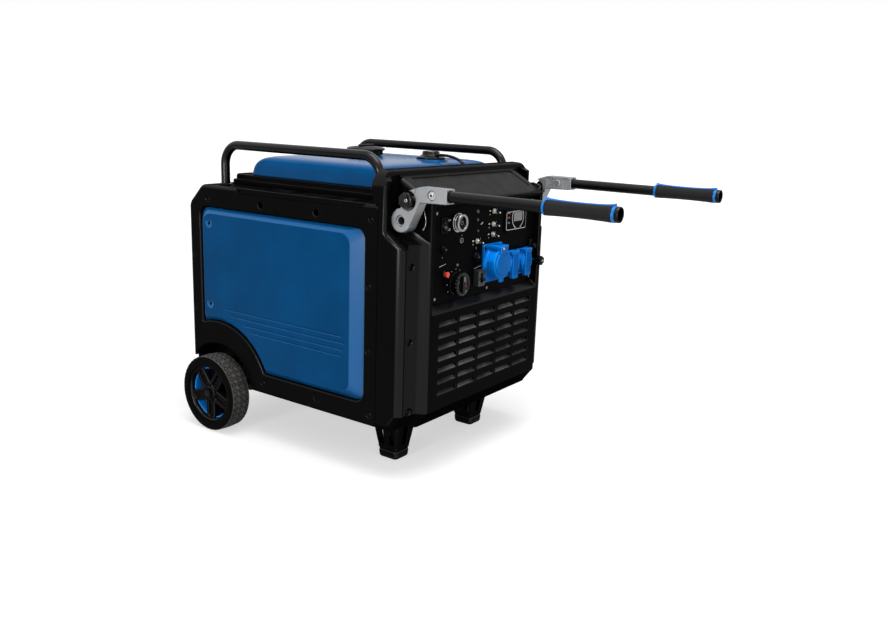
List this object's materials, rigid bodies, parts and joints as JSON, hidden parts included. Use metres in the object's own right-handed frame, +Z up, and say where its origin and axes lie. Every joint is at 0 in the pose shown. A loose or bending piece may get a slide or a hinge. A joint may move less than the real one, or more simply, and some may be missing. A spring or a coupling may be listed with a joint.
{
  "type": "portable generator",
  "caption": "Closed inverter generator on two wheels and front feet, with fold-down pull handles, carrying rails, a tank on top and a recessed panel of sockets and switches",
  "frame": {"origin": "Middle of the footprint box on the floor, handles pulled out", "axes": "+Z up, the control panel and the handles face -Y, +X is on the right of a person facing the panel"},
  "size_m": [0.636, 1.107, 0.6895],
  "materials": {
    "casing": "black moulded plastic with a fine satin grain",
    "side_panel": "blue moulded plastic with a fine satin grain",
    "tank": "blue gloss tank moulding",
    "chassis": "black powder coat on pressed steel",
    "tube_paint": "black gloss powder coat on steel tube",
    "trim": "black moulded plastic",
    "panel": "black satin fascia",
    "rubber": "matt black rubber",
    "tyre": "solid black tyre rubber, dusty in the tread",
    "blue_trim": "bright blue plastic",
    "socket_blue": "bright blue socket plastic",
    "cast_aluminium": "blasted die-cast aluminium",
    "steel": "zinc-plated steel",
    "chrome": "chromed brass ring",
    "nickel": "nickel-plated brass",
    "engine": "bare die-cast engine casing",
    "red_button": "red plastic",
    "display": "dark display window in a grey frame"
  },
  "bodies": {
    "casing": {"side_frame_left": "casing", "side_frame_right": "casing", "side_panel_left": "side_panel", "side_panel_right": "side_panel", "front_cowl": "casing", "rear_cover": "casing", "top_deck": "casing", "chassis_tray": "chassis", "fuel_tank": "tank", "fuel_gauge": "trim", "carrying_rail_left": "tube_paint", "carrying_rail_right": "tube_paint", "axle": "steel", "foot_left": "trim", "foot_right": "trim", "foot_pad_left": "rubber", "foot_pad_right": "rubber", "control_panel": "panel", "start_bezel": "chrome", "cee_socket": "socket_blue", "schuko_1_socket": "socket_blue", "schuko_2_socket": "socket_blue", "display_module": "display", "engine_block": "engine", "muffler": "steel", "inverter": "cast_aluminium", "battery": "trim"},
    "wheel_left": {"tyre_left": "tyre", "wheel_rim_left": "trim", "wheel_insert_left": "blue_trim"},
    "wheel_right": {"tyre_right": "tyre", "wheel_rim_right": "trim", "wheel_insert_right": "blue_trim"},
    "handle_left": {"handle_bracket_left": "cast_aluminium", "handle_tube_left": "tube_paint", "grip_core_left": "blue_trim", "grip_sleeve_left": "rubber"},
    "handle_right": {"handle_bracket_right": "cast_aluminium", "handle_tube_right": "tube_paint", "grip_core_right": "blue_trim", "grip_sleeve_right": "rubber"},
    "lock_left": {"lock_knob_left": "trim"},
    "lock_right": {"lock_knob_right": "trim"},
    "cap": {"fuel_cap": "trim"},
    "cee_cover": {"cee_lid": "socket_blue"},
    "schuko_1_cover": {"schuko_1_lid": "socket_blue"},
    "schuko_2_cover": {"schuko_2_lid": "socket_blue"},
    "rocker": {"rocker_switch": "trim"},
    "start": {"start_button": "trim"},
    "engine_switch": {"engine_knob": "trim"},
    "reset": {"reset_button": "red_button"},
    "breaker_1": {"breaker_button_1": "trim"},
    "breaker_2": {"breaker_button_2": "trim"},
    "toggle_a": {"toggle_1": "nickel"},
    "toggle_b": {"toggle_2": "nickel"},
    "toggle_c": {"toggle_3": "nickel"},
    "toggle_d": {"toggle_4": "nickel"},
    "main_breaker": {"breaker_lever": "trim"},
    "earth_clamp": {"earth_knob": "trim"},
    "crankshaft": {"crankshaft_fan": "steel"}
  },
  "joints": [
    {"name": "wheel_left_spin", "type": "hinge", "parent": "casing", "child": "wheel_left", "pos_m": [-0.29, 0.4465, 0.092], "axis": [1, 0, 0], "continuous": true},
    {"name": "wheel_right_spin", "type": "hinge", "parent": "casing", "child": "wheel_right", "pos_m": [0.29, 0.4465, 0.092], "axis": [1, 0, 0], "continuous": true},
    {"name": "handle_left_fold", "type": "hinge", "parent": "casing", "child": "handle_left", "pos_m": [-0.249, -0.0895, 0.558], "axis": [1, 0, 0], "range_deg": [0, 90]},
    {"name": "handle_right_fold", "type": "hinge", "parent": "casing", "child": "handle_right", "pos_m": [0.249, -0.0895, 0.558], "axis": [1, 0, 0], "range_deg": [0, 90]},
    {"name": "lock_left_pull", "type": "slide", "parent": "casing", "child": "lock_left", "axis": [-1, 0, 0], "range_m": [0, 0.008], "stiffness_N_per_m": 500},
    {"name": "lock_right_pull", "type": "slide", "parent": "casing", "child": "lock_right", "axis": [1, 0, 0], "range_m": [0, 0.008], "stiffness_N_per_m": 500},
    {"name": "fuel_cap_turn", "type": "hinge", "parent": "casing", "child": "cap", "pos_m": [0, 0.2295, 0.67], "axis": [0, 0, 1], "continuous": true},
    {"name": "cee_lid_lift", "type": "hinge", "parent": "casing", "child": "cee_cover", "pos_m": [0.028, -0.1512, 0.4812], "axis": [-1, 0, 0], "range_deg": [0, 110], "stiffness_Nm_per_rad": 0.05},
    {"name": "schuko_1_lid_lift", "type": "hinge", "parent": "casing", "child": "schuko_1_cover", "pos_m": [0.103, -0.1382, 0.4592], "axis": [-1, 0, 0], "range_deg": [0, 110], "stiffness_Nm_per_rad": 0.03},
    {"name": "schuko_2_lid_lift", "type": "hinge", "parent": "casing", "child": "schuko_2_cover", "pos_m": [0.16, -0.1382, 0.4592], "axis": [-1, 0, 0], "range_deg": [0, 110], "stiffness_Nm_per_rad": 0.03},
    {"name": "rocker_tip", "type": "hinge", "parent": "casing", "child": "rocker", "pos_m": [-0.157, -0.1225, 0.543], "axis": [1, 0, 0], "range_deg": [0, 14]},
    {"name": "start_press", "type": "slide", "parent": "casing", "child": "start", "axis": [0, 1, 0], "range_m": [0, 0.003], "stiffness_N_per_m": 500},
    {"name": "engine_switch_turn", "type": "hinge", "parent": "casing", "child": "engine_switch", "pos_m": [-0.109, -0.135, 0.415], "axis": [0, 1, 0], "range_deg": [0, 90]},
    {"name": "reset_press", "type": "slide", "parent": "casing", "child": "reset", "axis": [0, 1, 0], "range_m": [0, 0.003], "stiffness_N_per_m": 400},
    {"name": "breaker_1_press", "type": "slide", "parent": "casing", "child": "breaker_1", "axis": [0, 1, 0], "range_m": [0, 0.003], "stiffness_N_per_m": 400},
    {"name": "breaker_2_press", "type": "slide", "parent": "casing", "child": "breaker_2", "axis": [0, 1, 0], "range_m": [0, 0.003], "stiffness_N_per_m": 400},
    {"name": "toggle_1_tip", "type": "hinge", "parent": "casing", "child": "toggle_a", "pos_m": [-0.033, -0.1255, 0.498], "axis": [-1, 0, 0], "range_deg": [0, 24]},
    {"name": "toggle_2_tip", "type": "hinge", "parent": "casing", "child": "toggle_b", "pos_m": [0.03, -0.1255, 0.559], "axis": [-1, 0, 0], "range_deg": [0, 24]},
    {"name": "toggle_3_tip", "type": "hinge", "parent": "casing", "child": "toggle_c", "pos_m": [0.029, -0.1255, 0.53], "axis": [-1, 0, 0], "range_deg": [0, 24]},
    {"name": "toggle_4_tip", "type": "hinge", "parent": "casing", "child": "toggle_d", "pos_m": [0.028, -0.1255, 0.507], "axis": [-1, 0, 0], "range_deg": [0, 24]},
    {"name": "main_breaker_throw", "type": "hinge", "parent": "casing", "child": "main_breaker", "pos_m": [-0.026, -0.1295, 0.416], "axis": [-1, 0, 0], "range_deg": [0, 40]},
    {"name": "earth_clamp_turn", "type": "hinge", "parent": "casing", "child": "earth_clamp", "pos_m": [0.197, -0.1515, 0.431], "axis": [0, 1, 0], "continuous": true},
    {"name": "crankshaft_spin", "type": "hinge", "parent": "casing", "child": "crankshaft", "pos_m": [0, 0.2, 0.29], "axis": [0, 1, 0], "continuous": true}
  ]
}
